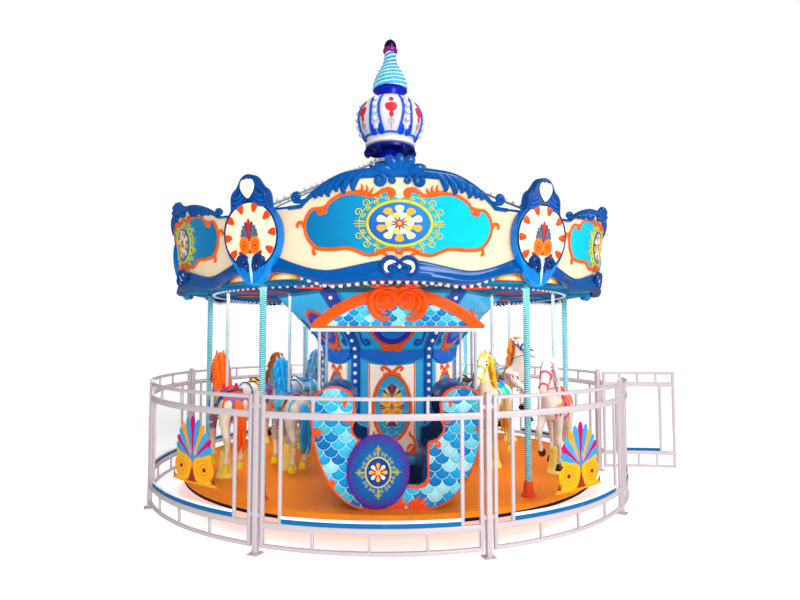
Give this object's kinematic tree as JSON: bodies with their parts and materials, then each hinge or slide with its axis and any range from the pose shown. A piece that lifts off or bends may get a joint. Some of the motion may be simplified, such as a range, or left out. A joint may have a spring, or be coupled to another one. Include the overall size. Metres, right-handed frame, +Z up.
{
  "type": "fairground carousel",
  "caption": "Small fairground carousel: horses and chariots on a turning platform under a painted crown and spire, inside a curved ring fence with a gate.",
  "frame": {"origin": "centre of the stand's underside, on the turning axis, at floor level", "axes": "+Z up along the turning axis; -Y towards the visitor, so that the gate is on the +X side"},
  "size_m": [5.6025, 4.8464, 4.857],
  "materials": {
    "stand_steel": "painted dark grey",
    "fence_white": "pearl white powder coat",
    "deck_wood": "varnished orange-brown",
    "navy": "glossy dark blue",
    "azure": "glossy royal blue",
    "sky": "glossy light blue",
    "ivory": "satin ivory",
    "orange": "glossy orange",
    "white": "gloss white",
    "teal_pole": "pearl teal",
    "coat": "painted horse, gloss"
  },
  "bodies": {
    "base": {"base_frame": "stand_steel", "fence_bay_1": "fence_white", "fence_bay_2": "fence_white", "fence_bay_3": "fence_white", "fence_bay_4": "fence_white", "fence_bay_5": "fence_white", "fence_bay_6": "fence_white", "fence_bay_7": "fence_white", "fence_bay_8": "fence_white", "gate_post": "fence_white"},
    "turntable": {"platform": "deck_wood", "platform_rim": "navy", "column": "sky", "column_flare": "azure", "ceiling": "azure", "roof_frame": "white", "crown_board_1": "ivory", "crown_board_2": "ivory", "crown_board_3": "ivory", "crown_board_4": "ivory", "crown_board_5": "ivory", "crown_board_6": "ivory", "cartouche_1": "azure", "cartouche_2": "azure", "cartouche_3": "azure", "cartouche_4": "azure", "cartouche_5": "azure", "cartouche_6": "azure", "pole_1": "teal_pole", "pole_2": "teal_pole", "pole_3": "teal_pole", "pole_4": "teal_pole", "pole_5": "teal_pole", "pole_6": "teal_pole", "chariot_1_front": "sky", "chariot_1_tub": "navy", "chariot_1_canopy": "orange", "chariot_2_front": "sky", "chariot_2_tub": "navy", "chariot_2_canopy": "orange", "mast_legs": "azure", "spire_onion": "white", "spire_cone": "sky", "stays": "white"},
    "gate_near": {"gate_near": "fence_white"},
    "gate_far": {"gate_far": "fence_white"},
    "horse_1": {"horse_1": "coat"},
    "horse_2": {"horse_2": "coat"},
    "horse_3": {"horse_3": "coat"},
    "horse_4": {"horse_4": "coat"},
    "horse_5": {"horse_5": "coat"},
    "horse_6": {"horse_6": "coat"},
    "horse_7": {"horse_7": "coat"},
    "horse_8": {"horse_8": "coat"}
  },
  "joints": [
    {"name": "turntable_spin", "type": "hinge", "parent": "base", "child": "turntable", "pos_m": [0, 0, 0.12], "axis": [0, 0, -1], "continuous": true},
    {"name": "gate_near_hinge", "type": "hinge", "parent": "base", "child": "gate_near", "pos_m": [2.03492, -1.3005, 0.5], "axis": [0, 0, -1], "range_deg": [0, 100]},
    {"name": "gate_far_hinge", "type": "hinge", "parent": "base", "child": "gate_far", "pos_m": [2.40185, 0.25169, 0.5], "axis": [0, 0, 1], "range_deg": [-88, 12]},
    {"name": "horse_1_slide", "type": "slide", "parent": "turntable", "child": "horse_1", "axis": [0, 0, 1], "range_m": [-0.1, 0.04]},
    {"name": "horse_2_slide", "type": "slide", "parent": "turntable", "child": "horse_2", "axis": [0, 0, 1], "range_m": [-0.03, 0.11]},
    {"name": "horse_3_slide", "type": "slide", "parent": "turntable", "child": "horse_3", "axis": [0, 0, 1], "range_m": [-0.05, 0.09]},
    {"name": "horse_4_slide", "type": "slide", "parent": "turntable", "child": "horse_4", "axis": [0, 0, 1], "range_m": [-0.09, 0.05]},
    {"name": "horse_5_slide", "type": "slide", "parent": "turntable", "child": "horse_5", "axis": [0, 0, 1], "range_m": [-0.12, 0.02]},
    {"name": "horse_6_slide", "type": "slide", "parent": "turntable", "child": "horse_6", "axis": [0, 0, 1], "range_m": [-0.07, 0.07]},
    {"name": "horse_7_slide", "type": "slide", "parent": "turntable", "child": "horse_7", "axis": [0, 0, 1], "range_m": [-0.06, 0.08]},
    {"name": "horse_8_slide", "type": "slide", "parent": "turntable", "child": "horse_8", "axis": [0, 0, 1], "range_m": [-0.1, 0.04]}
  ]
}
